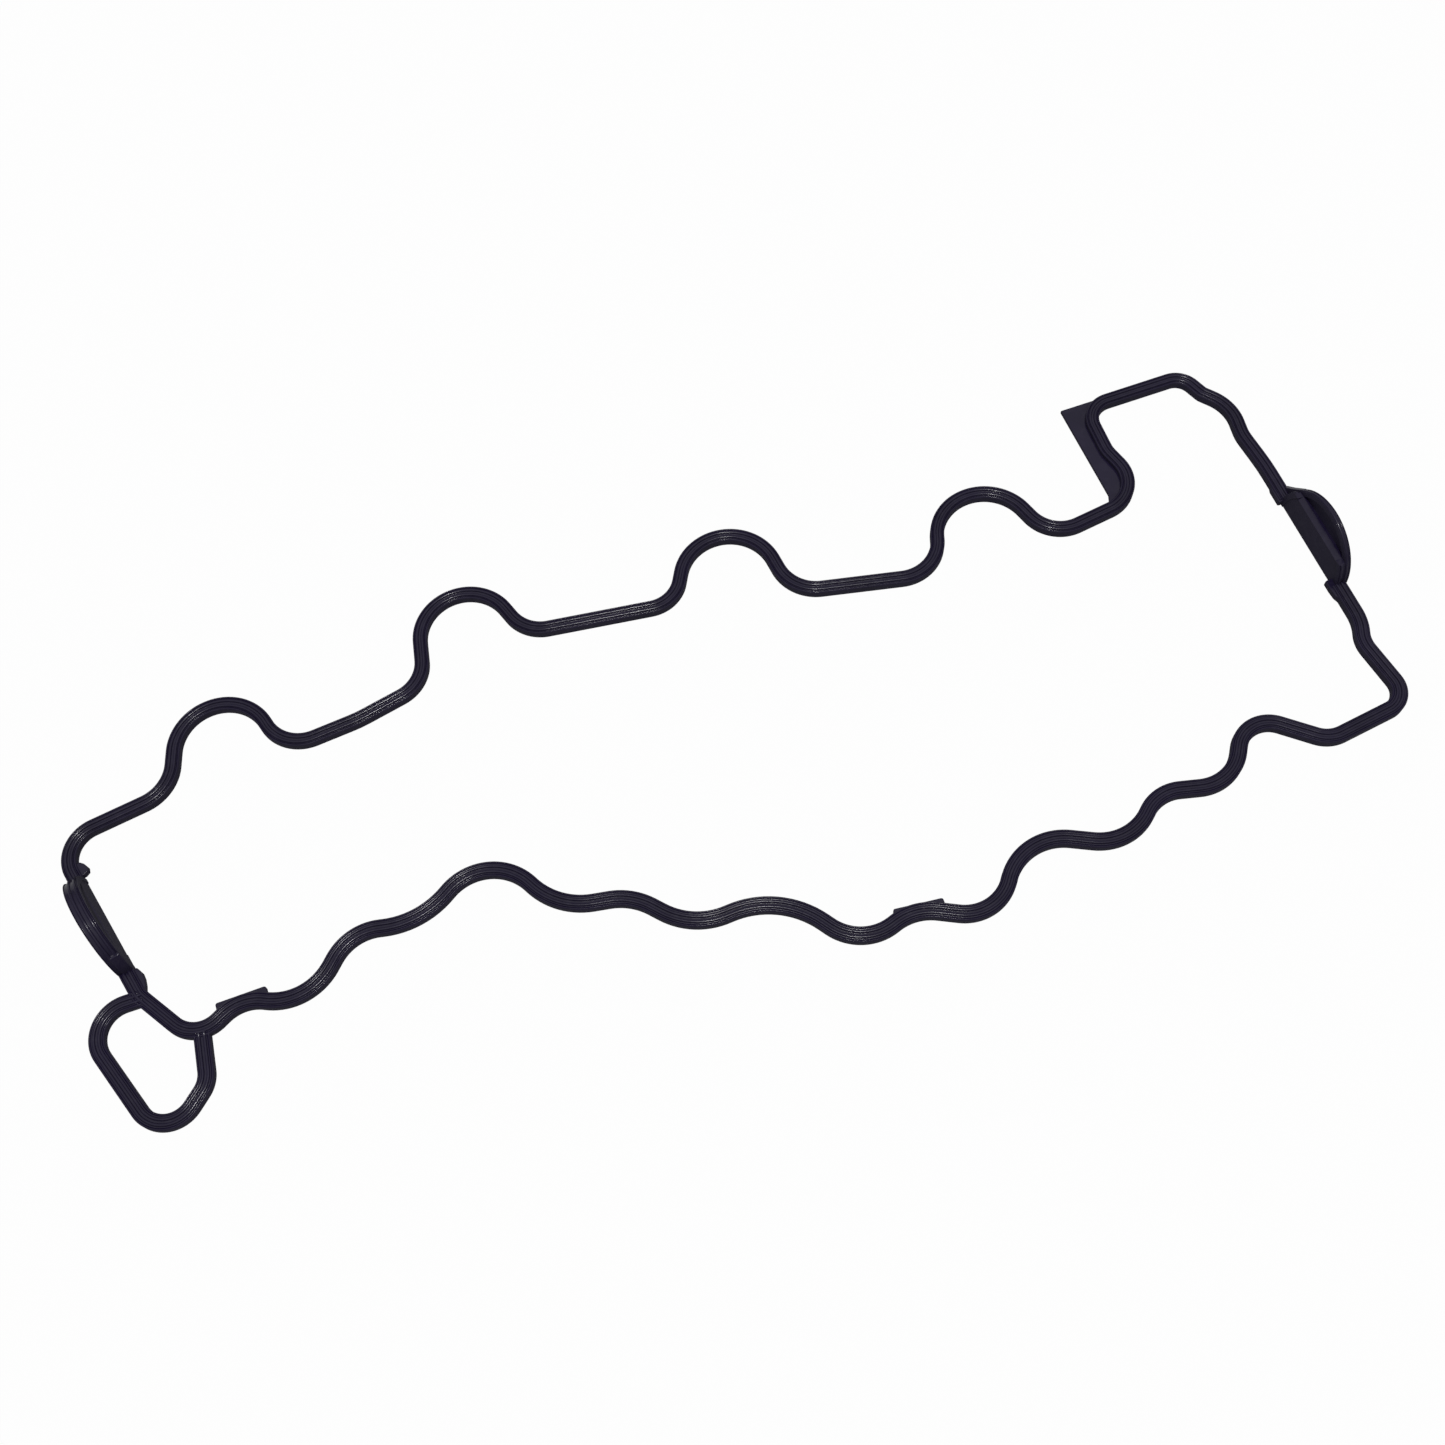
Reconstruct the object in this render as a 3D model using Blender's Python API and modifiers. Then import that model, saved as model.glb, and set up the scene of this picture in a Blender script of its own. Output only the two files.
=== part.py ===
# Valve cover gasket of a four-cylinder engine: one closed loop of ribbed rubber band with four
# arches round the spark plug wells, a small side loop, a thin web in one corner and two upright
# half-moon plugs that close the camshaft cut-outs of the cylinder head. It is moulded in one
# piece. It lies relaxed on a bench with the head side up, so the band is slightly bowed and the
# plugs stand. Lengths are in metres, +X runs along the engine, +Z is up.

import math
from collections import namedtuple

import bmesh
import bpy
from mathutils import Matrix, Vector

# Band section
band_width = 0.0052
band_height = 0.0036          # from the cover side to the crowns of the two sealing ribs
groove_floor = 0.0029         # height of the floor beside the ribs
rib_spacing = 0.0018          # from crown to crown
rib_crown = 0.0004            # width of the flat on top of a rib
rib_foot = 0.0009             # width of a rib where it leaves the floor
lip_width = 0.0009            # from the side of the band to the foot of its edge lip
lip_height = 0.0034
edge_drop = 0.0004            # how far the outer edge of a lip is rounded down

# Arches round the spark plug wells, as they lie in the relaxed rubber
arch_radius = 0.0175          # to the middle of the band
arch_turn = 144.0             # degrees that the band turns round an arch
arch_leans = (3.0, 6.0, -11.0, 1.0)
first_arch = (-0.1675, 0.0545)
arch_spacing = 0.0940         # cylinder pitch
arch_drifts = ((-0.0030, 0.0135), (0.0, -0.0090), (-0.0015, -0.0145))  # from that pitch, as it lies

# The band's middle line is a closed run of straights with rounded bends. Each bend gives the arch
# that it is placed from, its corner's place from that arch's centre, and its radius.
Bend = namedtuple("Bend", "arch along across radius")

rear_corner = (
    Bend(4, 0.0935, 0.0385, 0.0080),
    Bend(4, 0.0545, 0.0380, 0.0090),      # corner at the web
    Bend(4, 0.0545, 0.0180, 0.0120),
    Bend(4, 0.0610, -0.0030, 0.0130),     # bulge below the web
    Bend(4, 0.0215, -0.0085, 0.0135),
)
links = (                                 # between the arches, from the rear to the front
    (Bend(4, -0.0210, -0.0090, 0.0150), Bend(3, 0.0195, -0.0125, 0.0150)),
    (Bend(3, -0.0210, -0.0030, 0.0125), Bend(2, 0.0195, -0.0050, 0.0135)),
    (
        Bend(2, -0.0195, -0.0125, 0.0135),
        Bend(2, -0.0445, -0.0180, 0.0435),
        Bend(1, 0.0190, -0.0070, 0.0140),
    ),
)
front_end = (
    Bend(1, -0.0210, -0.0090, 0.0150),
    Bend(1, -0.0615, -0.0150, 0.0115),    # before the front plug
    Bend(1, -0.0445, -0.0765, 0.0060),    # just past the front plug
)
valve_side = (
    Bend(1, -0.0300, -0.0975, 0.0105),    # corner inside the side loop
    Bend(1, -0.0130, -0.0880, 0.0150),    # wave under the front tab
    Bend(1, 0.0070, -0.0980, 0.0195),
    Bend(1, 0.0255, -0.0780, 0.0175),
    Bend(2, -0.0420, -0.0965, 0.0305),
    Bend(2, -0.0145, -0.0770, 0.0190),
    Bend(2, 0.0015, -0.1065, 0.0245),
    Bend(2, 0.0260, -0.1105, 0.0220),
    Bend(2, 0.0420, -0.1280, 0.0250),
    Bend(3, -0.0220, -0.1160, 0.0320),
    Bend(3, -0.0025, -0.1435, 0.0180),
    Bend(3, 0.0175, -0.1360, 0.0200),     # wave under the middle tab
    Bend(3, 0.0430, -0.1485, 0.0155),
    Bend(4, -0.0325, -0.1090, 0.0195),
    Bend(4, 0.0010, -0.1250, 0.0185),
    Bend(4, 0.0160, -0.1105, 0.0145),
    Bend(4, 0.0415, -0.1165, 0.0160),
    Bend(4, 0.0555, -0.0940, 0.0110),
    Bend(4, 0.0785, -0.1125, 0.0110),
    Bend(4, 0.1105, -0.1080, 0.0080),     # lower corner of the rear end
)
rear_end = (
    Bend(4, 0.1055, -0.0830, 0.0125),
    Bend(4, 0.1085, -0.0760, 0.0210),     # before the rear plug
    Bend(4, 0.1055, -0.0070, 0.0905),     # just past the rear plug
    Bend(4, 0.1035, 0.0075, 0.0165),
    Bend(4, 0.1050, 0.0205, 0.0165),
    Bend(4, 0.0975, 0.0290, 0.0045),
)

# Side loop, from the place where it leaves the band to the place where it joins it again
side_loop = (
    Bend(1, -0.0435, -0.0775, 0.0000),
    Bend(1, -0.0655, -0.0775, 0.0110),
    Bend(1, -0.0460, -0.1275, 0.0100),
    Bend(1, -0.0290, -0.1115, 0.0095),
    Bend(1, -0.0275, -0.0950, 0.0000),
)
side_loop_drop = 0.0001       # its ribs lie this much lower, so that the band's own ribs run through

underside_step = 0.0001       # how far the loop, tabs, shoulders and web stand off the cover face

# Half-moon plugs: a turned rim and web, cut in half, with a thick block at its foot. Each stands on
# the straight after a bend: along it, out of its line towards the inside, and leaning outwards.
# Above the block the rim begins at one depth and the web at another, both from the plug's middle
# plane towards the outside of the loop.
plug_radius = 0.0196
plug_rib_spacing = 0.0021
plug_rib_shift = 0.0004       # how far the pair of ribs lies from the plug's middle plane, inwards
plug_lip_width = 0.0004
plug_rim = 0.0016             # radial thickness of the rim under its ribs
plug_block_height = 0.0109
plug_block_gap = 0.0003       # step from the rim's edge back to the face of the block
plug_overlap = 0.0003         # how far the cut ends of the band run into a plug
Plug = namedtuple("Plug", "bend along inward lean width rim_depth web_depth")
front_plug = Plug(front_end[1], 0.0354, 0.0001, 2.2, 0.0054, -0.0027, -0.0012)
rear_plug = Plug(rear_end[1], 0.0347, -0.0008, 4.5, 0.0048, 0.0001, 0.0010)

# Flat shoulders on the inner side of the band where it meets the plugs. Each point is measured past
# the plug's end and past the band's inner edge.
shoulder_height = 0.0028
front_shoulders = (
    ((0.0, 0.0008), (0.0006, 0.0023), (0.0020, 0.0028), (0.0037, 0.0022), (0.0050, 0.0012)),
    ((0.0, 0.0010), (0.0024, 0.0017), (0.0045, 0.0015), (0.0068, 0.0008), (0.0085, 0.0)),
)
rear_shoulders = (
    ((-0.0036, 0.0), (-0.0034, 0.0011), (0.0, 0.0011), (0.0030, 0.0008), (0.0050, 0.0)),
    ((-0.0014, 0.0), (-0.0012, 0.0005), (0.0045, 0.0005), (0.0060, 0.0)),
)

# Flat tabs on the inner side of the valve side: the wave that each is on, and how far from its crest
tab_length = 0.0150
tab_height = 0.0022
tabs = ((valve_side[1], 0.0), (valve_side[11], 0.0011))

# Thin web in the corner at the rear of the spark plug side
web_thickness = 0.0016
web_corner = (0.0460, 0.0400)  # its free corner, from the last arch's centre
web_foot = (0.0480, 0.0010)    # where its free edge comes down to the band

arc_sag = 0.00015             # how far a facet may lie inside its true arc
plug_facets = 48              # round a whole circle of the plug's radius

rubber_colour = (0.012, 0.011, 0.016, 1.0)


def arch_centres():
    x, y = first_arch
    centres = [Vector((x, y))]
    for along, across in arch_drifts:
        centres.append(centres[-1] + Vector((arch_spacing + along, across)))
    return centres


def place_of(bend):
    return arch_centres()[bend.arch - 1] + Vector((bend.along, bend.across))


def arch_bends(arch):
    """The two equal bends of one arch, which meet at its top."""
    reach = arch_radius / math.cos(math.radians(arch_turn / 4))
    bends = []
    for side in (-1, 1):
        angle = math.radians(90.0 + arch_leans[arch - 1] + side * arch_turn / 4)
        bends.append(Bend(arch, reach * math.cos(angle), reach * math.sin(angle), arch_radius))
    return tuple(bends)


def band_bends():
    """Every bend of the band, counter-clockwise from the rear corner of the spark plug side."""
    bends = rear_corner
    for arch, link in zip((4, 3, 2), links):
        bends += arch_bends(arch) + link
    return bends + arch_bends(1) + front_end + valve_side + rear_end


Arc = namedtuple("Arc", "bend place centre radius heading turn")


def arcs_of(bends, closed):
    """The true arc of each bend. Where two bends want more than the straight between them, both shrink."""
    places = [place_of(bend) for bend in bends]
    count = len(bends)
    steps = [places[(i + 1) % count] - places[i] for i in range(count)]
    headings = [math.atan2(step.y, step.x) for step in steps]
    turns = [(headings[i] - headings[i - 1] + math.pi) % math.tau - math.pi for i in range(count)]
    if not closed:
        turns[0] = turns[-1] = 0.0
    reaches = [bend.radius * math.tan(abs(turn) / 2) for bend, turn in zip(bends, turns)]
    shares = []
    for i, step in enumerate(steps):
        wanted = reaches[i] + reaches[(i + 1) % count]
        shares.append(min(1.0, step.length / wanted) if wanted > 0.0 else 1.0)
    arcs = []
    for i, bend in enumerate(bends):
        radius = bend.radius * min(shares[i - 1], shares[i])
        heading = headings[i - 1] if turns[i] else headings[i]
        middle = heading + turns[i] / 2
        side = math.copysign(1.0, turns[i])
        towards = Vector((-math.sin(middle), math.cos(middle))) * side
        centre = places[i] + towards * radius / math.cos(turns[i] / 2)
        arcs.append(Arc(bend, places[i], centre, radius, heading, turns[i]))
    return arcs


def arc_points(arc):
    """Points of the middle line round one bend."""
    if not arc.turn or not arc.radius:
        return [arc.place]
    largest = 2.0 * math.acos(1.0 - arc_sag / max(arc.radius, 2 * arc_sag))
    count = max(1, math.ceil(abs(arc.turn) / largest))
    side = math.copysign(1.0, arc.turn)
    points = []
    for i in range(count + 1):
        heading = arc.heading + arc.turn * i / count
        points.append(arc.centre + Vector((math.sin(heading), -math.cos(heading))) * side * arc.radius)
    return points


def without_repeats(points, least=0.00005):
    kept = [points[0]]
    for point in points[1:]:
        if (point - kept[-1]).length > least:
            kept.append(point)
    if (kept[-1] - kept[0]).length < least:
        kept.pop()
    return kept


def route_points(bends, closed):
    return without_repeats([point for arc in arcs_of(bends, closed) for point in arc_points(arc)])


def band_section(drop=0.0, foot=0.0):
    """Closed outline of the band across its run: flat below, two ribs and two edge lips above."""
    half = band_width / 2
    rib = rib_spacing / 2
    right = [
        (rib - rib_foot / 2, groove_floor),
        (rib - rib_crown / 2, band_height),
        (rib + rib_crown / 2, band_height),
        (rib + rib_foot / 2, groove_floor),
        (half - lip_width, groove_floor),
        (half - lip_width / 2, lip_height),
        (half, lip_height - edge_drop),
    ]
    right = [(x, z - drop) for x, z in right] + [(half, foot)]
    left = [(-x, z) for x, z in reversed(right)]
    return right + left


def new_object(name, data, collection):
    obj = bpy.data.objects.new(name, data)
    collection.objects.link(obj)
    return obj


def hide_tool(obj):
    obj.hide_render = True
    obj.display_type = "WIRE"
    return obj


def poly_curve(name, points, cyclic, flat=True):
    curve = bpy.data.curves.new(name, "CURVE")
    curve.dimensions = "2D" if flat else "3D"
    spline = curve.splines.new("POLY")
    spline.points.add(len(points) - 1)
    for point, place in zip(spline.points, points):
        point.co = (place[0], place[1], place[2] if len(place) > 2 else 0.0, 1.0)
    spline.use_cyclic_u = cyclic
    return curve


def mesh_from(obj):
    """The evaluated shape of a curve as a welded mesh with its faces pointing out."""
    bpy.context.view_layer.update()
    graph = bpy.context.evaluated_depsgraph_get()
    mesh = bpy.data.meshes.new_from_object(obj.evaluated_get(graph))
    shape = bmesh.new()
    shape.from_mesh(mesh)
    bmesh.ops.remove_doubles(shape, verts=shape.verts, dist=0.000001)
    bmesh.ops.recalc_face_normals(shape, faces=shape.faces)
    shape.to_mesh(mesh)
    shape.free()
    return mesh


def swept_band(name, points, cyclic, collection, drop=0.0, foot=0.0):
    """The ribbed section carried along a route on the bench."""
    outline = poly_curve(name + "_section", band_section(drop, foot), True)
    outline.fill_mode = "NONE"
    section = new_object(name + "_section", outline, collection)
    path = poly_curve(name, points, cyclic)
    path.fill_mode = "NONE"
    path.bevel_mode = "OBJECT"
    path.bevel_object = section
    path.use_fill_caps = not cyclic
    guide = new_object(name + "_route", path, collection)
    mesh = mesh_from(guide)
    for curve_object in (guide, section):
        bpy.data.objects.remove(curve_object)
    return new_object(name, mesh, collection)


def flat_plate(name, points, thickness, collection):
    """A flat outline, filled and made thick upwards from just above the bench."""
    outline = poly_curve(name, points, True)
    outline.fill_mode = "BOTH"
    outline.extrude = (thickness - underside_step) / 2
    guide = new_object(name + "_outline", outline, collection)
    mesh = mesh_from(guide)
    mesh.transform(Matrix.Translation((0.0, 0.0, (thickness + underside_step) / 2)))
    bpy.data.objects.remove(guide)
    return hide_tool(new_object(name, mesh, collection))


def box(name, low, high, collection):
    shape = bmesh.new()
    bmesh.ops.create_cube(shape, size=1.0)
    size = Vector(high) - Vector(low)
    middle = (Vector(high) + Vector(low)) / 2
    bmesh.ops.transform(
        shape, matrix=Matrix.Translation(middle) @ Matrix.Diagonal((*size, 1.0)), verts=shape.verts
    )
    mesh = bpy.data.meshes.new(name)
    shape.to_mesh(mesh)
    shape.free()
    return hide_tool(new_object(name, mesh, collection))


def add_boolean(obj, operation, other):
    modifier = obj.modifiers.new(other.name, "BOOLEAN")
    modifier.operation = operation
    modifier.solver = "EXACT"
    modifier.object = other
    return modifier


def plug_profile(plug):
    """Half section of the turned plug: distance from its axis, and place across the band."""
    half = plug.width / 2
    low = plug_radius - band_height + groove_floor
    lip_top = plug_radius - band_height + lip_height
    ribs = []
    for side in (1, -1):
        middle = side * plug_rib_spacing / 2 - plug_rib_shift
        ribs += [
            (lip_top - edge_drop, side * half),
            (lip_top, side * (half - plug_lip_width / 2)),
            (low, side * (half - plug_lip_width)),
            (low, middle + rib_foot / 2),
            (plug_radius, middle + rib_crown / 2),
            (plug_radius, middle - rib_crown / 2),
            (low, middle - rib_foot / 2),
        ]
    rim_inside = low - plug_rim
    outer = sorted(ribs, key=lambda place: -place[1])
    inner = [(rim_inside, -half), (rim_inside, plug.web_depth), (0.0, plug.web_depth)]
    return [(0.0, half)] + outer + inner


def turned_plug(name, frame, plug, collection):
    """Rim and web turned about an axis along the bench, with the block added and the lower half cut off."""
    profile = bpy.data.meshes.new(name)
    points = plug_profile(plug)
    corners = [(radius, across, 0.0) for radius, across in points]
    profile.from_pydata(corners, [(i, i + 1) for i in range(len(corners) - 1)], [])
    shape = new_object(name, profile, collection)
    turn = shape.modifiers.new("turn", "SCREW")
    turn.axis = "Y"
    turn.steps = plug_facets
    turn.render_steps = plug_facets
    turn.use_merge_vertices = True
    turn.merge_threshold = 0.00001
    turn.use_normal_calculate = True

    face = -plug.width / 2 + plug_block_gap
    back = (plug.web_depth + plug.width / 2) / 2
    radius = plug_radius - band_height + groove_floor - plug_rim / 2
    block_mesh = drum(name + "_block", radius, face, back)
    block = hide_tool(new_object(name + "_block", block_mesh, collection))
    reach = 2 * plug_radius
    block_room = box(
        name + "_block_room", (-reach, -reach, -reach), (reach, reach, plug_block_height), collection
    )
    upper_room = box(name + "_upper_room", (-reach, -reach, 0.0), (reach, reach, reach), collection)
    add_boolean(block, "INTERSECT", block_room)
    add_boolean(shape, "UNION", block)
    tools = [shape, block, block_room]
    if plug.rim_depth > -plug.width / 2:
        low = (-reach, -reach, plug_block_height)
        set_back = box(name + "_set_back", low, (reach, plug.rim_depth, reach), collection)
        add_boolean(shape, "DIFFERENCE", set_back)
        tools.append(set_back)
    add_boolean(shape, "INTERSECT", upper_room)
    turned_round = Matrix.Rotation(math.pi, 4, "Z")
    leaning = frame @ Matrix.Rotation(math.radians(plug.lean), 4, "X") @ turned_round
    for tool in tools:
        tool.matrix_world = leaning
    upper_room.matrix_world = frame
    return hide_tool(shape)


def drum(name, radius, low, high):
    """A short cylinder lying across the band, from one depth to another."""
    shape = bmesh.new()
    bmesh.ops.create_cone(
        shape, cap_ends=True, segments=plug_facets, radius1=radius, radius2=radius, depth=high - low
    )
    bmesh.ops.rotate(shape, cent=(0, 0, 0), matrix=Matrix.Rotation(math.pi / 2, 3, "X"), verts=shape.verts)
    bmesh.ops.translate(shape, vec=(0.0, (low + high) / 2, 0.0), verts=shape.verts)
    mesh = bpy.data.meshes.new(name)
    shape.to_mesh(mesh)
    shape.free()
    return mesh


def plug_gap(name, frame, collection):
    """The stretch of band that a plug takes the place of."""
    half_chord = math.sqrt(plug_radius ** 2 - band_height ** 2) - plug_overlap
    gap = box(
        name, (-half_chord, -band_width, -band_height), (half_chord, band_width, 2 * band_height), collection
    )
    gap.matrix_world = frame
    return gap


def frame_after(bend, along):
    """Frame on the straight after a bend: X along the band, Y towards the inside of the loop."""
    bends = band_bends()
    corner = place_of(bend)
    direction = (place_of(bends[bends.index(bend) + 1]) - corner).normalized()
    place = corner + direction * along
    turned = Matrix.Rotation(math.atan2(direction.y, direction.x), 4, "Z")
    return Matrix.Translation((place.x, place.y, 0.0)) @ turned


def on_frame(frame, points):
    return [(frame @ Vector((x, y, 0.0))).xy for x, y in points]


def shoulder(name, frame, side, outline, collection):
    """Flat rubber at one end of a plug, on the inner side of the band."""
    edge = band_width / 2
    points = [(side * (plug_radius + past), edge + reach) for past, reach in outline]
    points += [(points[-1][0], 0.0), (points[0][0], 0.0)]
    return flat_plate(name, on_frame(frame, points), shoulder_height, collection)


def tab(name, bend, past_crest, collection):
    """Straight-edged tab across the crest of a wave, on the band's inner side."""
    arc = next(arc for arc in arcs_of(band_bends(), True) if arc.bend == bend)
    heading = arc.heading + arc.turn / 2
    direction = Vector((math.cos(heading), math.sin(heading)))
    towards = Vector((-direction.y, direction.x))
    crest = arc.centre + towards * arc.radius + direction * past_crest
    top = crest + towards * band_width / 2
    half = direction * tab_length / 2
    points = [crest - half * 0.9, crest + half * 0.9, top + half, top - half]
    return flat_plate(name, points, tab_height, collection)


def corner_web(name, collection):
    """Thin sheet from the middle of the band's corner to its own free edge."""
    last = arch_centres()[-1]
    middle_line = []
    for arc in arcs_of(band_bends(), True)[1:4]:
        middle_line += arc_points(arc)
    over_corner = middle_line[0] + Vector((0.0, band_width * 0.4))
    along_band = [point for point in without_repeats(middle_line) if point.y > last.y - web_corner[1] / 4]
    points = [last + Vector(web_corner), last + Vector(web_foot)] + along_band[::-1] + [over_corner]
    return flat_plate(name, points, web_thickness, collection)


def rubber_material():
    material = bpy.data.materials.new("moulded_black_rubber")
    material.use_nodes = True
    surface = material.node_tree.nodes["Principled BSDF"]
    surface.inputs["Base Color"].default_value = rubber_colour
    surface.inputs["Roughness"].default_value = 0.32
    surface.inputs["Metallic"].default_value = 0.0
    material.diffuse_color = rubber_colour
    return material


def build():
    for obj in list(bpy.data.objects):
        bpy.data.objects.remove(obj)
    parts = bpy.data.collections.new("valve_cover_gasket")
    tools = bpy.data.collections.new("cutters")
    for collection in (parts, tools):
        bpy.context.scene.collection.children.link(collection)

    body = swept_band("band", route_points(band_bends(), True), True, tools)
    loop = swept_band(
        "side_loop", route_points(side_loop, False), False, tools, side_loop_drop, underside_step
    )
    pieces = [hide_tool(loop)]
    for name, plug, shoulders in (
        ("front", front_plug, front_shoulders),
        ("rear", rear_plug, rear_shoulders),
    ):
        frame = frame_after(plug.bend, plug.along)
        gap = plug_gap(name + "_plug_gap", frame, tools)
        add_boolean(body, "DIFFERENCE", gap)
        standing = frame @ Matrix.Translation((0.0, plug.inward, 0.0))
        pieces.append(turned_plug(name + "_plug", standing, plug, tools))
        for side, outline in zip((-1, 1), shoulders):
            pieces.append(shoulder(f"{name}_shoulder_{side}", frame, side, outline, tools))
    for i, (wave, past_crest) in enumerate(tabs):
        pieces.append(tab(f"tab_{i}", wave, past_crest, tools))
    pieces.append(corner_web("corner_web", tools))
    for piece in pieces:
        add_boolean(body, "UNION", piece)

    mesh = mesh_from(body)
    hide_tool(body)
    xs = [v.co.x for v in mesh.vertices]
    ys = [v.co.y for v in mesh.vertices]
    mesh.transform(Matrix.Translation((-(min(xs) + max(xs)) / 2, -(min(ys) + max(ys)) / 2, 0.0)))
    gasket = new_object("valve_cover_gasket", mesh, parts)
    mesh.materials.clear()
    mesh.materials.append(rubber_material())
    mesh.shade_smooth()
    mesh.set_sharp_from_angle(angle=math.radians(30))
    return gasket


build()
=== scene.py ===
import math
from collections import namedtuple

import bmesh
import bpy
from mathutils import Matrix, Vector


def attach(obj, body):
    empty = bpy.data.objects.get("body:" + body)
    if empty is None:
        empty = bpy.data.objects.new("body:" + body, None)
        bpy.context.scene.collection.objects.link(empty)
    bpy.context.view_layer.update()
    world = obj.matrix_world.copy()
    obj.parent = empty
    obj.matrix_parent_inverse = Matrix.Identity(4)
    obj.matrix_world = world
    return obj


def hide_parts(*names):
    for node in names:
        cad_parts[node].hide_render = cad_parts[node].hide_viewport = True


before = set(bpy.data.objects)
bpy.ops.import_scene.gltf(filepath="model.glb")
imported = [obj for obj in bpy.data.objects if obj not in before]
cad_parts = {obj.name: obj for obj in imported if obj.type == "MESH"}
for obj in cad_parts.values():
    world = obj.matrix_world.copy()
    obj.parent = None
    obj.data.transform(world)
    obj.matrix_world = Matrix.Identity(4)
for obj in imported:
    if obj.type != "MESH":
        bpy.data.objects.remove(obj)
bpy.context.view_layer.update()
scene = bpy.context.scene
print("frame loaded")

# Camera: where it stands, what it looks at, and its turn about the line of sight in degrees
view = dict(
    place=(-0.0561, -0.2290, 0.5437), aim=(0.0021, 0.0074, 0.0), roll=-5.25,
    lens=43.1, sensor=36.0,               # millimetres
    nearest=0.01, farthest=20.0,
)


def lookFrom(place, aim, roll=0.0):
    back = (Vector(place) - Vector(aim)).normalized()
    right = Vector((0.0, 0.0, 1.0)).cross(back).normalized()
    facing = Matrix((right, back.cross(right), back)).transposed().to_4x4()
    return Matrix.Translation(place) @ facing @ Matrix.Rotation(math.radians(roll), 4, "Z")


def addCamera():
    lens = bpy.data.cameras.new("benchCamera")
    lens.lens = view["lens"]
    lens.sensor_width = view["sensor"]
    lens.clip_start = view["nearest"]
    lens.clip_end = view["farthest"]
    camera = bpy.data.objects.new("benchCamera", lens)
    scene.collection.objects.link(camera)
    camera.matrix_world = lookFrom(view["place"], view["aim"], view["roll"])
    scene.camera = camera
    print("camera placed")


# Middle line of the band: straights with rounded bends. Each bend gives the arch that it is placed
# from, its corner's place from that arch's centre, and its radius.
Bend = namedtuple("Bend", "arch along across radius")
arches = dict(
    radius=0.0175, turn=144.0, leans=(3.0, 6.0, -11.0, 1.0),
    first=(-0.1675, 0.0545), steps=((0.0910, 0.0135), (0.0940, -0.0090), (0.0925, -0.0145)),
    recentre=(0.004319, -0.000107),       # from the layout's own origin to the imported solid's
)
rearCorner = (
    Bend(4, 0.0935, 0.0385, 0.0080),
    Bend(4, 0.0545, 0.0380, 0.0090),      # corner at the web
    Bend(4, 0.0545, 0.0180, 0.0120),
    Bend(4, 0.0610, -0.0030, 0.0130),     # bulge below the web
    Bend(4, 0.0215, -0.0085, 0.0135),
)
links = (                                 # between the arches, from the rear to the front
    (Bend(4, -0.0210, -0.0090, 0.0150), Bend(3, 0.0195, -0.0125, 0.0150)),
    (Bend(3, -0.0210, -0.0030, 0.0125), Bend(2, 0.0195, -0.0050, 0.0135)),
    (
        Bend(2, -0.0195, -0.0125, 0.0135),
        Bend(2, -0.0445, -0.0180, 0.0435),
        Bend(1, 0.0190, -0.0070, 0.0140),
    ),
)
frontEnd = (
    Bend(1, -0.0210, -0.0090, 0.0150),
    Bend(1, -0.0615, -0.0150, 0.0115),    # before the front plug
    Bend(1, -0.0445, -0.0765, 0.0060),    # just past the front plug
)
valveSide = (
    Bend(1, -0.0300, -0.0975, 0.0105),    # corner inside the side loop
    Bend(1, -0.0130, -0.0880, 0.0150),    # wave under the front tab
    Bend(1, 0.0070, -0.0980, 0.0195),
    Bend(1, 0.0255, -0.0780, 0.0175),
    Bend(2, -0.0420, -0.0965, 0.0305),
    Bend(2, -0.0145, -0.0770, 0.0190),
    Bend(2, 0.0015, -0.1065, 0.0245),
    Bend(2, 0.0260, -0.1105, 0.0220),
    Bend(2, 0.0420, -0.1280, 0.0250),
    Bend(3, -0.0220, -0.1160, 0.0320),
    Bend(3, -0.0025, -0.1435, 0.0180),
    Bend(3, 0.0175, -0.1360, 0.0200),     # wave under the middle tab
    Bend(3, 0.0430, -0.1485, 0.0155),
    Bend(4, -0.0325, -0.1090, 0.0195),
    Bend(4, 0.0010, -0.1250, 0.0185),
    Bend(4, 0.0160, -0.1105, 0.0145),
    Bend(4, 0.0415, -0.1165, 0.0160),
    Bend(4, 0.0555, -0.0940, 0.0110),
    Bend(4, 0.0785, -0.1125, 0.0110),
    Bend(4, 0.1105, -0.1080, 0.0080),     # lower corner of the rear end
)
rearEnd = (
    Bend(4, 0.1055, -0.0830, 0.0125),
    Bend(4, 0.1085, -0.0760, 0.0210),     # before the rear plug
    Bend(4, 0.1055, -0.0070, 0.0905),     # just past the rear plug
    Bend(4, 0.1035, 0.0075, 0.0165),
    Bend(4, 0.1050, 0.0205, 0.0165),
    Bend(4, 0.0975, 0.0290, 0.0045),
)
sideLoop = (                              # from where it leaves the band to where it joins it again
    Bend(1, -0.0435, -0.0775, 0.0000),
    Bend(1, -0.0655, -0.0775, 0.0110),
    Bend(1, -0.0460, -0.1275, 0.0100),
    Bend(1, -0.0290, -0.1115, 0.0095),
    Bend(1, -0.0275, -0.0950, 0.0000),
)
fineness = dict(degreesApart=4.0, longestStraight=0.0025, samePlace=0.00002)


def archCentres():
    centres = [Vector(arches["first"]) + Vector(arches["recentre"])]
    for step in arches["steps"]:
        centres.append(centres[-1] + Vector(step))
    return centres


def placeOf(bend):
    return archCentres()[bend.arch - 1] + Vector((bend.along, bend.across))


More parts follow.
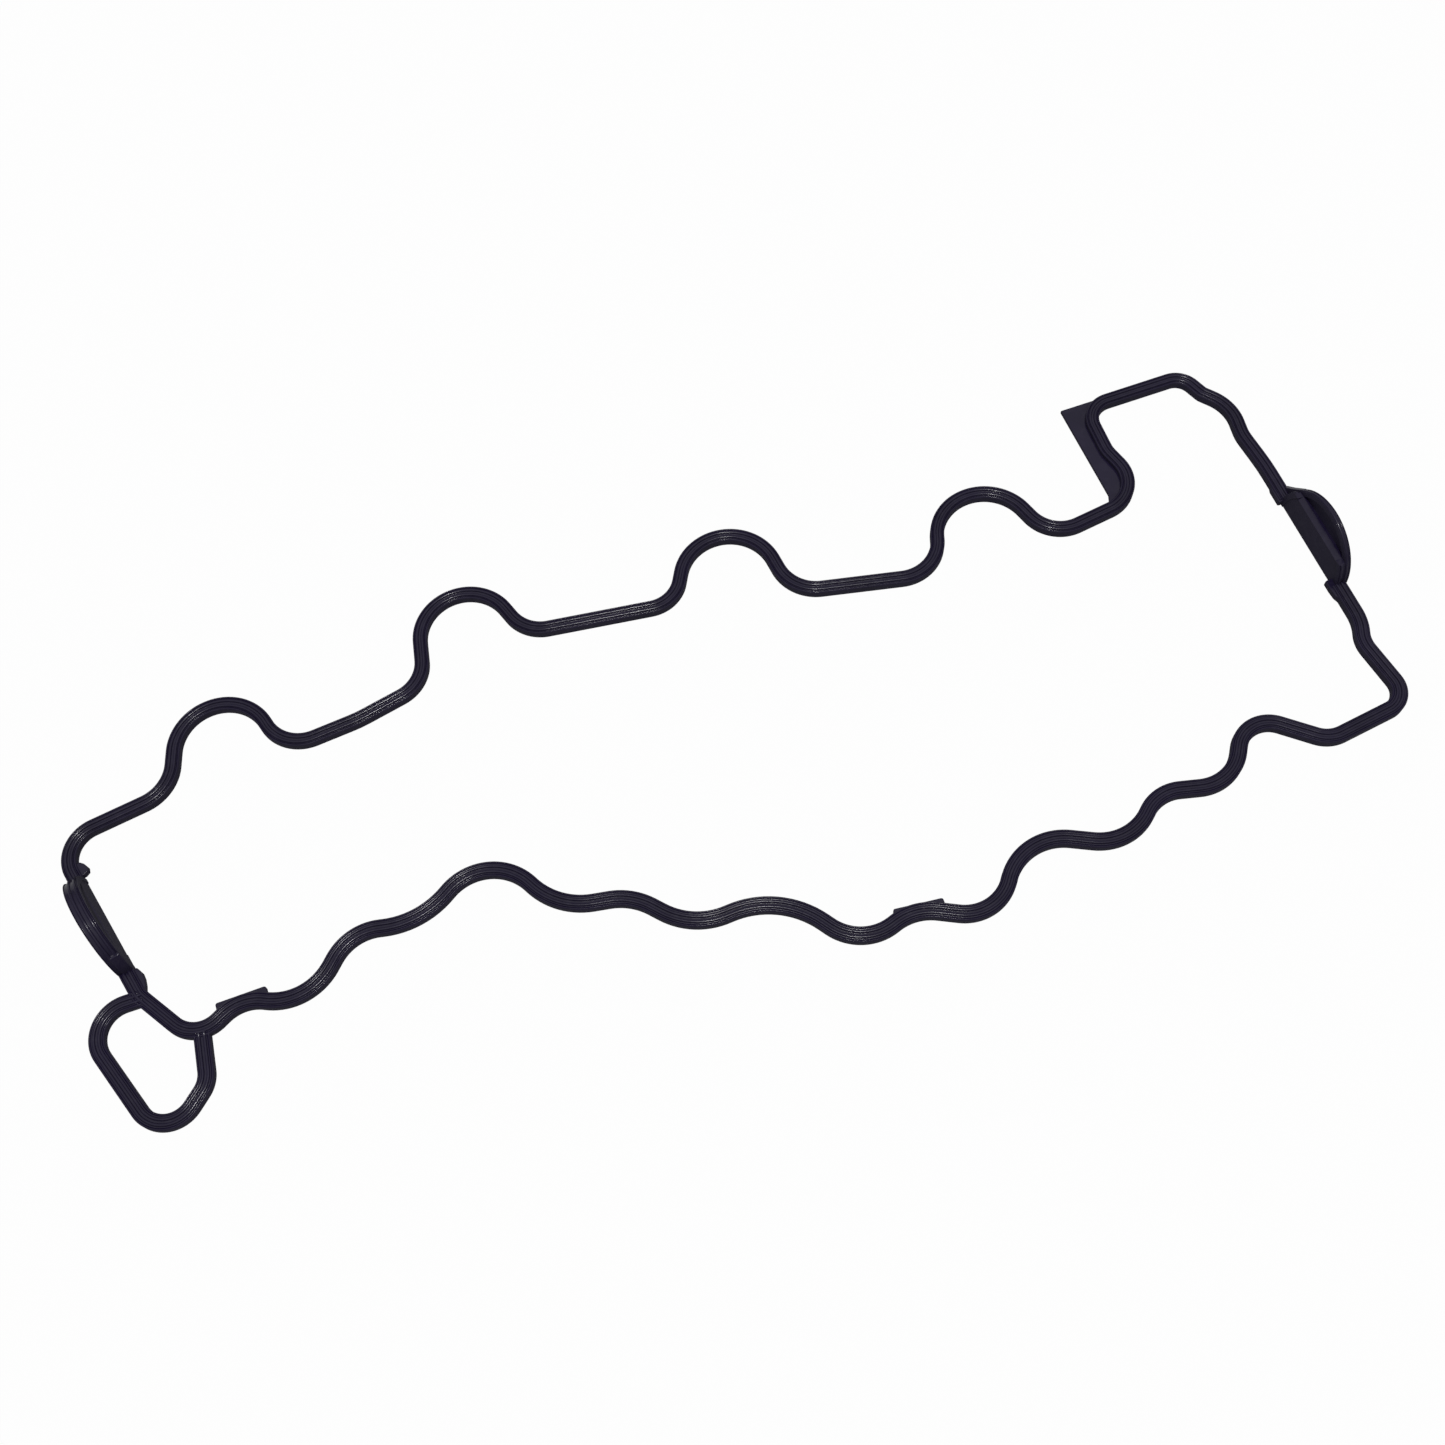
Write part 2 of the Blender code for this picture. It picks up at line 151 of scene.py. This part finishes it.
def archBends(arch):
    reach = arches["radius"] / math.cos(math.radians(arches["turn"] / 4))
    bends = []
    for side in (-1, 1):
        angle = math.radians(90.0 + arches["leans"][arch - 1] + side * arches["turn"] / 4)
        bends.append(Bend(arch, reach * math.cos(angle), reach * math.sin(angle), arches["radius"]))
    return tuple(bends)


def bandBends():
    bends = rearCorner
    for arch, link in zip((4, 3, 2), links):
        bends += archBends(arch) + link
    return bends + archBends(1) + frontEnd + valveSide + rearEnd


Arc = namedtuple("Arc", "bend place centre radius heading turn")


def arcsOf(bends, closed):
    # Each bend as a true arc, its radius cut down where two bends meet on a short straight
    places = [placeOf(bend) for bend in bends]
    count = len(bends)
    steps = [places[(i + 1) % count] - places[i] for i in range(count)]
    headings = [math.atan2(step.y, step.x) for step in steps]
    turns = [(headings[i] - headings[i - 1] + math.pi) % math.tau - math.pi for i in range(count)]
    if not closed:
        turns[0] = turns[-1] = 0.0
    reaches = [bend.radius * math.tan(abs(turn) / 2) for bend, turn in zip(bends, turns)]
    shares = []
    for i, step in enumerate(steps):
        wanted = reaches[i] + reaches[(i + 1) % count]
        shares.append(min(1.0, step.length / wanted) if wanted > 0.0 else 1.0)
    arcs = []
    for i, bend in enumerate(bends):
        radius = bend.radius * min(shares[i - 1], shares[i])
        heading = headings[i - 1] if turns[i] else headings[i]
        middle = heading + turns[i] / 2
        towards = Vector((-math.sin(middle), math.cos(middle))) * math.copysign(1.0, turns[i])
        centre = places[i] + towards * radius / math.cos(turns[i] / 2)
        arcs.append(Arc(bend, places[i], centre, radius, heading, turns[i]))
    return arcs


def routeStations(bends, closed):
    # Places on the middle line with the heading there, close together round bends
    stations = []
    for arc in arcsOf(bends, closed):
        count = max(1, math.ceil(math.degrees(abs(arc.turn)) / fineness["degreesApart"]))
        side = math.copysign(1.0, arc.turn)
        for i in range(count + 1):
            heading = arc.heading + arc.turn * i / count
            out = Vector((math.sin(heading), -math.cos(heading)))
            stations.append((arc.centre + out * side * arc.radius, heading))
            if not arc.turn:
                break
    if not closed:
        arcs = arcsOf(bends, closed)
        last = arcs[-1].place - arcs[-2].place
        stations[-1] = (stations[-1][0], math.atan2(last.y, last.x))
    filled = []
    for i, (place, heading) in enumerate(stations):
        if filled and (place - filled[-1][0]).length < fineness["samePlace"]:
            continue
        if filled:
            start, startHeading = filled[-1]
            turn = (heading - startHeading + math.pi) % math.tau - math.pi
            pieces = max(1, math.ceil((place - start).length / fineness["longestStraight"]))
            for k in range(1, pieces):
                filled.append((start.lerp(place, k / pieces), startHeading + turn * k / pieces))
        filled.append((place, heading))
    if closed and (filled[0][0] - filled[-1][0]).length < fineness["samePlace"]:
        filled.pop()
    return filled


band = dict(
    width=0.0052, widening=-0.0037,       # at the middle, and its change per metre towards the arches
    height=0.0036, floor=0.0029,          # of the ribs' tops and of the grooves between them
    ribSpacing=0.0018, ribFoot=0.0010, crownRadius=0.00055, crownTurn=math.radians(50), crownSteps=6,
    lipWidth=0.0009, lipHeight=0.0034, edgeDrop=0.0004, rounding=0.00014,
    lift=0.0001,                          # pieces joined to the band start this far above its underside
    gentleTurn=math.radians(35),          # corners that turn less than this are part of a curve
    cornerShare=0.45,                     # most of a side that the rounding of its corner may take
    weldDistance=0.000001,
)


def ribArc(middle, low, high):
    # Steep flanks and round crown of one rib, from its right foot to its left one
    half = band["ribFoot"] / 2
    radius = band["crownRadius"]
    points = [(middle + half, low)]
    for k in range(band["crownSteps"] + 1):
        angle = band["crownTurn"] * (1 - 2 * k / band["crownSteps"])
        points.append((middle + radius * math.sin(angle), high - radius * (1 - math.cos(angle))))
    return points + [(middle - half, low)]


def roundedCorners(corners, radius, closed=True):
    # A run of corners with each sharp one rounded by three points
    points = [] if closed else [Vector(corners[0])]
    count = len(corners)
    for i in range(count) if closed else range(1, count - 1):
        before, corner, after = (Vector(corners[k % count]) for k in (i - 1, i, i + 1))
        if (corner - before).angle(after - corner) < band["gentleTurn"]:
            points.append(corner)
            continue
        share = band["cornerShare"]
        reach = min(radius, (before - corner).length * share, (after - corner).length * share)
        start = corner + (before - corner).normalized() * reach
        end = corner + (after - corner).normalized() * reach
        points += [start, (start + end + 2 * corner) / 4, end]
    if not closed:
        points.append(Vector(corners[-1]))
    return points


def bandTop(width, drop=0.0):
    # Lips, ribs and floors across the band from its right side to its left one
    half = width / 2
    right = ribArc(band["ribSpacing"] / 2, band["floor"], band["height"])[::-1] + [
        (half - band["lipWidth"], band["floor"]),
        (half - band["lipWidth"] / 2, band["lipHeight"]),
        (half, band["lipHeight"] - band["edgeDrop"]),
    ]
    return [(x, z - drop) for x, z in right[::-1]] + [(-x, z - drop) for x, z in right]


def meshObject(name, points, faces):
    mesh = bpy.data.meshes.new(name)
    mesh.from_pydata(points, [], faces)
    shape = bmesh.new()
    shape.from_mesh(mesh)
    bmesh.ops.remove_doubles(shape, verts=shape.verts, dist=band["weldDistance"])
    bmesh.ops.recalc_face_normals(shape, faces=shape.faces)
    shape.to_mesh(mesh)
    shape.free()
    piece = bpy.data.objects.new(name, mesh)
    scene.collection.objects.link(piece)
    return piece


def sweptBand(name, bends, closed, drop=0.0, foot=0.0):
    stations = routeStations(bends, closed)
    points = []
    for place, heading in stations:
        width = band["width"] + band["widening"] * place.y
        top = bandTop(width, drop)
        section = roundedCorners([(width / 2, foot)] + top + [(-width / 2, foot)], band["rounding"])
        left = Vector((-math.sin(heading), math.cos(heading)))
        for x, z in section:
            spot = place + left * x
            points.append((spot.x, spot.y, z))
    around = len(section)
    faces = []
    for i in range(len(stations) if closed else len(stations) - 1):
        a = i * around
        b = (i + 1) % len(stations) * around
        faces += [(a + j, a + (j + 1) % around, b + (j + 1) % around, b + j) for j in range(around)]
    if not closed:
        faces.append(tuple(range(around)))
        faces.append(tuple(range(len(points) - around, len(points)))[::-1])
    return meshObject(name, points, faces)


edges = dict(plain=0.0003, fine=0.0002, block=0.0004, steps=3, sharperThan=math.radians(50))


def plate(name, outline, low, high, edge=edges["plain"]):
    # Flat outline made thick, with its edges rounded
    count = len(outline)
    points = [(*place, z) for z in (low, high) for place in outline]
    faces = [tuple(range(count)), tuple(range(count, 2 * count))]
    faces += [(i, (i + 1) % count, count + (i + 1) % count, count + i) for i in range(count)]
    piece = meshObject(name, points, faces)
    rounding = piece.modifiers.new("edges", "BEVEL")
    rounding.width = edge
    rounding.segments = edges["steps"]
    rounding.limit_method = "ANGLE"
    rounding.angle_limit = edges["sharperThan"]
    return piece


def turned(name, profile, steps):
    # Profile of distance and height turned once round the Y axis
    points = []
    for i in range(steps):
        angle = math.tau * i / steps
        right, up = math.cos(angle), math.sin(angle)
        points += [(reach * right, across, reach * up) for reach, across in profile]
    count = len(profile)
    faces = []
    for i in range(steps):
        a = i * count
        b = (i + 1) % steps * count
        faces += [(a + j, a + j + 1, b + j + 1, b + j) for j in range(count - 1)]
    return meshObject(name, points, faces)


def combine(piece, operation, other):
    step = piece.modifiers.new(other.name, "BOOLEAN")
    step.operation = operation
    step.solver = "EXACT"
    step.object = other


def baked(piece, tools):
    # The piece with its modifiers worked out, and the shapes that it used taken away
    bpy.context.view_layer.update()
    mesh = bpy.data.meshes.new_from_object(piece.evaluated_get(bpy.context.evaluated_depsgraph_get()))
    piece.modifiers.clear()
    piece.data = mesh
    for tool in tools:
        bpy.data.objects.remove(tool)
    return piece


plugs = dict(
    radius=0.0196, ribSpacing=0.0021, ribShift=0.0004, lipWidth=0.0004, rim=0.0016, steps=128,
    blockHeight=0.0109, ledgeFall=17.0, blockGap=0.0003, blockSteps=20, blockFoot=-0.3,
    overlap=0.0003, shoulderHeight=0.0028, padSteps=12,
    front=dict(
        bend=frontEnd[1], along=0.0354, inward=0.0001, lean=2.2,
        width=0.0054, rimDepth=None, webDepth=-0.0012,
        shoulders=(
            ((0.0, 0.0008), (0.0006, 0.0023), (0.0020, 0.0028), (0.0037, 0.0022), (0.0050, 0.0012)),
            ((0.0, 0.0010), (0.0024, 0.0017), (0.0045, 0.0015), (0.0068, 0.0008), (0.0085, 0.0)),
        ),
        pad=dict(start=0.0128, height=0.0112, across=(-0.0026, 0.0010), proud=0.0001), gusset=None,
    ),
    rear=dict(
        bend=rearEnd[1], along=0.0347, inward=-0.0008, lean=4.5,
        width=0.0048, rimDepth=0.0001, webDepth=0.0010,
        shoulders=(
            ((-0.0036, 0.0), (-0.0034, 0.0011), (0.0, 0.0011), (0.0030, 0.0008), (0.0050, 0.0)),
            ((-0.0014, 0.0), (-0.0012, 0.0005), (0.0045, 0.0005), (0.0060, 0.0)),
        ),
        pad=None,
        gusset=dict(
            corners=(
                (0.0140, 0.0126), (0.0158, 0.0116), (0.0200, 0.0064),
                (0.0232, 0.0029), (0.0232, 0.0010), (0.0140, 0.0010),
            ),
            across=(0.0002, 0.0021),
        ),
    ),
)


def rimProfile(plug):
    half = plug["width"] / 2
    low = plugs["radius"] - band["height"] + band["floor"]
    lip = low + band["lipHeight"] - band["floor"]
    corners = []
    for side in (1, -1):
        middle = side * plugs["ribSpacing"] / 2 - plugs["ribShift"]
        corners += [
            (lip - band["edgeDrop"], side * half),
            (lip, side * (half - plugs["lipWidth"] / 2)),
            (low, side * (half - plugs["lipWidth"])),
        ] + [(reach, across) for across, reach in ribArc(middle, low, plugs["radius"])]
    corners.sort(key=lambda place: -place[1])
    inside = low - plugs["rim"]
    depth = plug["webDepth"]
    corners = [(0.0, half)] + corners + [(inside, -half), (inside, depth), (0.0, depth)]
    return roundedCorners(corners, band["rounding"], closed=False)


def standingPlate(name, outline, across, standing):
    # Plate in the plug's own plane, from one depth across the band to another, outwards counted up
    nearest, farthest = across
    outline = [(-along, height) for along, height in outline]
    piece = plate(name, outline, -farthest, -nearest, edges["fine"])
    piece.matrix_world = standing @ Matrix.Rotation(math.pi / 2, 4, "X")
    return piece


def padOutline(pad):
    # Plain pad over the ribs at the plug's end on the valve side
    reach = plugs["radius"] + pad["proud"]
    top = math.asin(pad["height"] / reach)
    count = plugs["padSteps"]
    angles = [top * (k / count) for k in range(-2, count + 1)]
    outline = [(reach * math.cos(angle), reach * math.sin(angle)) for angle in angles]
    return outline + [(pad["start"], pad["height"]), (pad["start"], outline[0][1])]


def halfMoonPlug(name, plug, standing):
    # Turned rim and web, a block at the foot, and what stands on it, all cut off at the bench
    piece = turned(name, rimProfile(plug), plugs["steps"])
    half = plug["width"] / 2
    radius = plugs["radius"] - band["height"] + band["floor"] - plugs["rim"] / 2
    top = math.asin(plugs["blockHeight"] / radius)
    count = plugs["blockSteps"]
    angles = [plugs["blockFoot"]] + [top * k / count for k in range(count + 1)]
    right = [(radius * math.cos(angle), radius * math.sin(angle)) for angle in angles]
    outline = right + [(-x, z) for x, z in reversed(right)]
    back = (plug["webDepth"] + half) / 2
    block = plate(name + "Block", outline, -back, half - plugs["blockGap"], edges["block"])
    block.matrix_world = standing @ Matrix.Rotation(math.pi / 2, 4, "X")
    piece.matrix_world = standing
    size = 3 * plugs["radius"]
    square = [(-size, -size), (size, -size), (size, size), (-size, size)]
    above = plate(name + "Above", square, 0.0, size)      # leaves the block's top falling inwards
    above.modifiers.clear()
    above.matrix_world = standing @ Matrix.Translation((0.0, 0.0, plugs["blockHeight"]))
    above.matrix_world = above.matrix_world @ Matrix.Rotation(math.radians(plugs["ledgeFall"]), 4, "X")
    combine(block, "DIFFERENCE", above)
    combine(piece, "UNION", block)
    tools = [block, above]
    for extra, outline in (("pad", plug["pad"] and padOutline(plug["pad"])),
                           ("gusset", plug["gusset"] and plug["gusset"]["corners"])):
        if outline:
            tools.append(standingPlate(name + extra, outline, plug[extra]["across"], standing))
            combine(piece, "UNION", tools[-1])
    if plug["rimDepth"] is not None:
        outline = [(-size, -size), (size, -size), (size, plug["rimDepth"]), (-size, plug["rimDepth"])]
        setBack = plate(name + "SetBack", outline, plugs["blockHeight"], size)
        setBack.modifiers.clear()
        setBack.matrix_world = standing
        combine(piece, "DIFFERENCE", setBack)
        tools.append(setBack)
    ground = plate(name + "Ground", square, -size, 0.0)
    ground.modifiers.clear()
    ground.location = standing.translation
    combine(piece, "DIFFERENCE", ground)
    tools.append(ground)
    return baked(piece, tools)


def frameAfter(bend, along):
    # Frame on the straight after a bend: X along the band, Y towards the inside of the loop
    bends = bandBends()
    corner = placeOf(bend)
    direction = (placeOf(bends[bends.index(bend) + 1]) - corner).normalized()
    place = corner + direction * along
    heading = math.atan2(direction.y, direction.x)
    return Matrix.Translation((*place, 0.0)) @ Matrix.Rotation(heading, 4, "Z")


def plugWithShoulders(body, end):
    # One plug in its gap in the band, with the small flat shoulder at each of its ends
    plug = plugs[end]
    ground = frameAfter(plug["bend"], plug["along"])
    size = plugs["radius"]
    chord = math.sqrt(size ** 2 - band["height"] ** 2) - plugs["overlap"]
    wide = band["width"]
    corners = [(-chord, -wide), (chord, -wide), (chord, wide), (-chord, wide)]
    gap = plate(end + "PlugGap", corners, -wide, 2 * wide)
    gap.modifiers.clear()
    gap.matrix_world = ground
    combine(body, "DIFFERENCE", gap)
    standing = ground @ Matrix.Translation((0.0, plug["inward"], 0.0))
    standing = standing @ Matrix.Rotation(math.radians(plug["lean"]), 4, "X")
    standing = standing @ Matrix.Rotation(math.pi, 4, "Z")
    pieces = [halfMoonPlug(end + "Plug", plug, standing)]
    for side, outline in zip((-1, 1), plug["shoulders"]):
        points = [(side * (size + past), wide / 2 + reach) for past, reach in outline]
        points += [(points[-1][0], 0.0), (points[0][0], 0.0)]
        shoulder = plate(f"{end}Shoulder{side}", points, band["lift"], plugs["shoulderHeight"])
        shoulder.matrix_world = ground
        pieces.append(shoulder)
    return gap, pieces


tabs = dict(length=0.0150, height=0.0022, cornerRadius=0.0007, waves=(
    dict(bend=valveSide[1], pastCrest=-0.0001, longer=0.0010, proud=0.0004, turn=0.0),
    dict(bend=valveSide[11], pastCrest=0.0020, longer=0.0010, proud=0.0003, turn=-3.0),
))


def flatTab(name, wave):
    # Tab on the inner side of a wave of the band, its top nearly straight
    arc = next(arc for arc in arcsOf(bandBends(), True) if arc.bend == wave["bend"])
    heading = arc.heading + arc.turn / 2
    direction = Vector((math.cos(heading), math.sin(heading)))
    towards = Vector((-direction.y, direction.x))
    crest = arc.centre + towards * arc.radius
    top = crest + towards * (band["width"] / 2 + wave["proud"])
    topDirection = Matrix.Rotation(math.radians(wave["turn"]), 2) @ direction
    outline = []
    for side in (-1, 1):
        along = wave["pastCrest"] + side * (tabs["length"] / 2 + wave["longer"])
        drop = along ** 2 / 2 / arc.radius            # the wave falls away from its crest
        ends = [crest + direction * along - towards * drop, top + topDirection * along]
        outline += ends[::side]
    outline = roundedCorners(outline, tabs["cornerRadius"])
    return plate(name, outline, band["lift"], tabs["height"])


web = dict(
    thickness=0.0016, corner=(0.0460, 0.0400), foot=(0.0480, 0.0010), steps=12,
    lowest=-0.0100,                       # how far down it follows the band, from the last arch's centre
    pastCorner=0.4,                       # of the band's width
)


def cornerWeb():
    # Thin sheet that fills the rear corner between the last arch and the band
    last = archCentres()[-1]
    middle = []
    for arc in arcsOf(bandBends(), True)[1:4]:
        side = math.copysign(1.0, arc.turn)
        for k in range(web["steps"] + 1):
            heading = arc.heading + arc.turn * k / web["steps"]
            out = Vector((math.sin(heading), -math.cos(heading)))
            middle.append(arc.centre + out * side * arc.radius)
    overCorner = middle[0] + Vector((0.0, band["width"] * web["pastCorner"]))
    alongBand = [place for place in middle if place.y > last.y + web["lowest"]]
    outline = [last + Vector(web["corner"]), last + Vector(web["foot"])]
    outline += alongBand[::-1] + [overCorner]
    return plate("cornerWeb", outline, band["lift"], web["thickness"], edges["fine"])


sharpTurn = math.radians(55)              # edges that turn more than this stay sharp in the shading


def wholeMoulding():
    # Everything joined to the band as one closed mesh
    body = sweptBand("gasketMoulding", bandBends(), True)
    pieces = [sweptBand("sideLoop", sideLoop, False, band["lift"], band["lift"]), cornerWeb()]
    pieces += [flatTab(f"tab{i}", wave) for i, wave in enumerate(tabs["waves"])]
    gaps = []
    for end in ("front", "rear"):
        gap, endPieces = plugWithShoulders(body, end)
        gaps.append(gap)
        pieces += endPieces
    for piece in pieces:
        combine(body, "UNION", piece)
    baked(body, pieces + gaps)
    body.data.polygons.foreach_set("material_index", [0] * len(body.data.polygons))
    body.data.shade_smooth()
    body.data.set_sharp_from_angle(angle=sharpTurn)
    evening = body.modifiers.new("evenShading", "WEIGHTED_NORMAL")
    evening.keep_sharp = True
    print("moulding joined:", len(body.data.polygons), "faces")
    return baked(body, ())


def fromHex(code):
    # sRGB hex to linear colour
    parts = [int(code[i:i + 2], 16) / 255 for i in (1, 3, 5)]
    return tuple(c / 12.92 if c <= 0.04045 else ((c + 0.055) / 1.055) ** 2.4 for c in parts) + (1.0,)


def addNode(tree, kind, settings=None, values=None, links=None):
    # One node with its settings, its input values and what feeds it
    node = tree.nodes.new(kind)
    for name, value in (settings or {}).items():
        setattr(node, name, value)
    for socket, value in (values or {}).items():
        node.inputs[socket].default_value = value
    for socket, source in (links or {}).items():
        tree.links.new(source, node.inputs[socket])
    return node


perMetre = 1000.0                         # turns "once in so many millimetres" to a pattern's scale
rubberFinish = dict(
    colour="#151025", paleColour="#231c39", bloomColour="#434050",
    patchSize=24.0, mottleSize=3.0, grainSize=0.55, flowSize=7.0,    # millimetres
    ior=1.42,                             # a little under plain rubber's 1.5, for its dark gloss
    roughness=(0.17, 0.25), dulling=(0.3, 0.7),      # polished to dull, and where the mottle gives each
    sideRoughness=0.75, steepness=(0.25, 0.55),      # of upright sides, and where faces turn level
    bloom=0.12, bloomRange=(0.48, 0.72),
    grainDepth=0.0000006, flowDepth=0.00002,         # metres
)


def mouldedRubber():
    # Acrylic or nitrile rubber pressed in a polished mould: near black with a violet cast, a soft gloss
    # that draws bright lines along the ribs, a fine grain, and a thin grey bloom in patches
    finish = rubberFinish
    material = bpy.data.materials.new("mouldedBlackRubber")
    material.use_nodes = True
    tree = material.node_tree
    shader = tree.nodes["Principled BSDF"]
    place = addNode(tree, "ShaderNodeTexCoord").outputs["Object"]

    def noise(size, detail=2.0):
        values = {"Scale": perMetre / size, "Detail": detail, "Roughness": 0.55}
        node = addNode(tree, "ShaderNodeTexNoise", values=values, links={"Vector": place})
        return node.outputs["Fac"]

    patches = noise(finish["patchSize"], 3.0)
    mottle = noise(finish["mottleSize"], 4.0)
    colours = addNode(tree, "ShaderNodeMix", {"data_type": "RGBA"}, links={0: patches})
    colours.inputs[6].default_value = fromHex(finish["colour"])
    colours.inputs[7].default_value = fromHex(finish["paleColour"])
    bare, bloomy = finish["bloomRange"]
    bloomPlace = addNode(tree, "ShaderNodeMapRange",
                         values={1: bare, 2: bloomy, 3: 0.0, 4: finish["bloom"]}, links={0: mottle})
    bloomed = addNode(tree, "ShaderNodeMix", {"data_type": "RGBA"},
                      links={0: bloomPlace.outputs[0], 6: colours.outputs[2]})
    bloomed.inputs[7].default_value = fromHex(finish["bloomColour"])
    tree.links.new(bloomed.outputs[2], shader.inputs["Base Color"])
    dulling = dict(enumerate(finish["dulling"] + finish["roughness"], 1))
    dulled = addNode(tree, "ShaderNodeMapRange", values=dulling, links={0: mottle})
    normal = addNode(tree, "ShaderNodeNewGeometry").outputs["True Normal"]
    facing = addNode(tree, "ShaderNodeSeparateXYZ", links={0: normal}).outputs["Z"]
    upright, level = finish["steepness"]
    sides = addNode(tree, "ShaderNodeMapRange", values={1: upright, 2: level, 3: 1.0, 4: 0.0},
                    links={0: facing})
    matt = addNode(tree, "ShaderNodeMix", {"data_type": "FLOAT"}, {3: finish["sideRoughness"]},
                   {0: sides.outputs[0], 2: dulled.outputs[0]})
    tree.links.new(matt.outputs[0], shader.inputs["Roughness"])
    shader.inputs["IOR"].default_value = finish["ior"]
    flow = addNode(tree, "ShaderNodeBump", values={"Strength": 1.0, "Distance": finish["flowDepth"]},
                   links={"Height": noise(finish["flowSize"], 1.0)})
    grain = addNode(tree, "ShaderNodeBump", values={"Strength": 1.0, "Distance": finish["grainDepth"]},
                    links={"Height": noise(finish["grainSize"]), "Normal": flow.outputs[0]})
    tree.links.new(grain.outputs[0], shader.inputs["Normal"])
    print("rubber mixed")
    return material


studio = dict(
    floorColour="#b0b0b0", floorRoughness=0.9, floorSize=3.0,
    seenWhite=0.98,                       # the rest of the floor's look is lit paper with the shadow
    mirroredWhite=0.05,                   # kept low: a full white makes the upright sides far too light
    zenith=0.62, horizon=0.04,
    lamp=dict(place=(0.0, -0.2, 2.0), width=0.08, power=14.0),
)


def whiteShare(tree):
    # How much of the plain white each kind of ray gets in place of the lit surface
    path = addNode(tree, "ShaderNodeLightPath")
    mirrored = addNode(tree, "ShaderNodeMath", {"operation": "MAXIMUM"},
                       links={0: path.outputs["Is Glossy Ray"], 1: path.outputs["Is Transmission Ray"]})
    mirrored = addNode(tree, "ShaderNodeMath", {"operation": "MULTIPLY"}, {1: studio["mirroredWhite"]},
                       {0: mirrored.outputs[0]})
    return addNode(tree, "ShaderNodeMath", {"operation": "MULTIPLY_ADD"}, {1: studio["seenWhite"]},
                   {0: path.outputs["Is Camera Ray"], 2: mirrored.outputs[0]}).outputs[0]


def addFloor():
    size = studio["floorSize"]
    corners = [(-size, -size, 0), (size, -size, 0), (size, size, 0), (-size, size, 0)]
    floor = meshObject("floor", corners, [(0, 1, 2, 3)])
    paper = bpy.data.materials.new("whitePaperFloor")     # matt paper that shows as plain white
    paper.use_nodes = True
    tree = paper.node_tree
    shader = tree.nodes["Principled BSDF"]
    shader.inputs["Base Color"].default_value = fromHex(studio["floorColour"])
    shader.inputs["Roughness"].default_value = studio["floorRoughness"]
    white = addNode(tree, "ShaderNodeEmission", values={"Strength": 1.0})
    mixed = addNode(tree, "ShaderNodeMixShader",
                    links={0: whiteShare(tree), 1: shader.outputs[0], 2: white.outputs[0]})
    tree.links.new(mixed.outputs[0], tree.nodes["Material Output"].inputs["Surface"])
    floor.data.materials.append(paper)


def addWorld():
    # Soft light from above that fades towards the horizon
    world = bpy.data.worlds.new("studio")
    scene.world = world
    world.use_nodes = True
    tree = world.node_tree
    height = addNode(tree, "ShaderNodeSeparateXYZ",
                     links={0: addNode(tree, "ShaderNodeTexCoord").outputs["Generated"]})
    dome = addNode(tree, "ShaderNodeMapRange",
                   values={1: 0.0, 2: 1.0, 3: studio["horizon"], 4: studio["zenith"]},
                   links={0: height.outputs["Z"]})
    strength = addNode(tree, "ShaderNodeMix", {"data_type": "FLOAT"}, {3: 1.0},
                       {0: whiteShare(tree), 2: dome.outputs[0]})
    tree.nodes["Background"].inputs["Color"].default_value = (1.0, 1.0, 1.0, 1.0)
    tree.links.new(strength.outputs[0], tree.nodes["Background"].inputs["Strength"])


def addLamp():
    # One small lamp overhead, which draws the bright lines along the ribs
    lamp = bpy.data.lights.new("overheadLamp", "AREA")
    lamp.energy = studio["lamp"]["power"]
    lamp.size = studio["lamp"]["width"]
    lampObject = bpy.data.objects.new("overheadLamp", lamp)
    scene.collection.objects.link(lampObject)
    lampObject.matrix_world = lookFrom(studio["lamp"]["place"], (0.0, 0.0, 0.0))


def addStage():
    addFloor()
    addWorld()
    addLamp()
    print("stage set")


def build():
    addCamera()
    moulding = wholeMoulding()
    moulding.data.materials.clear()
    moulding.data.materials.append(mouldedRubber())
    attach(moulding, "root")
    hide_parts("valve_cover_gasket")
    addStage()
    scene.view_settings.view_transform = "Standard"


build()
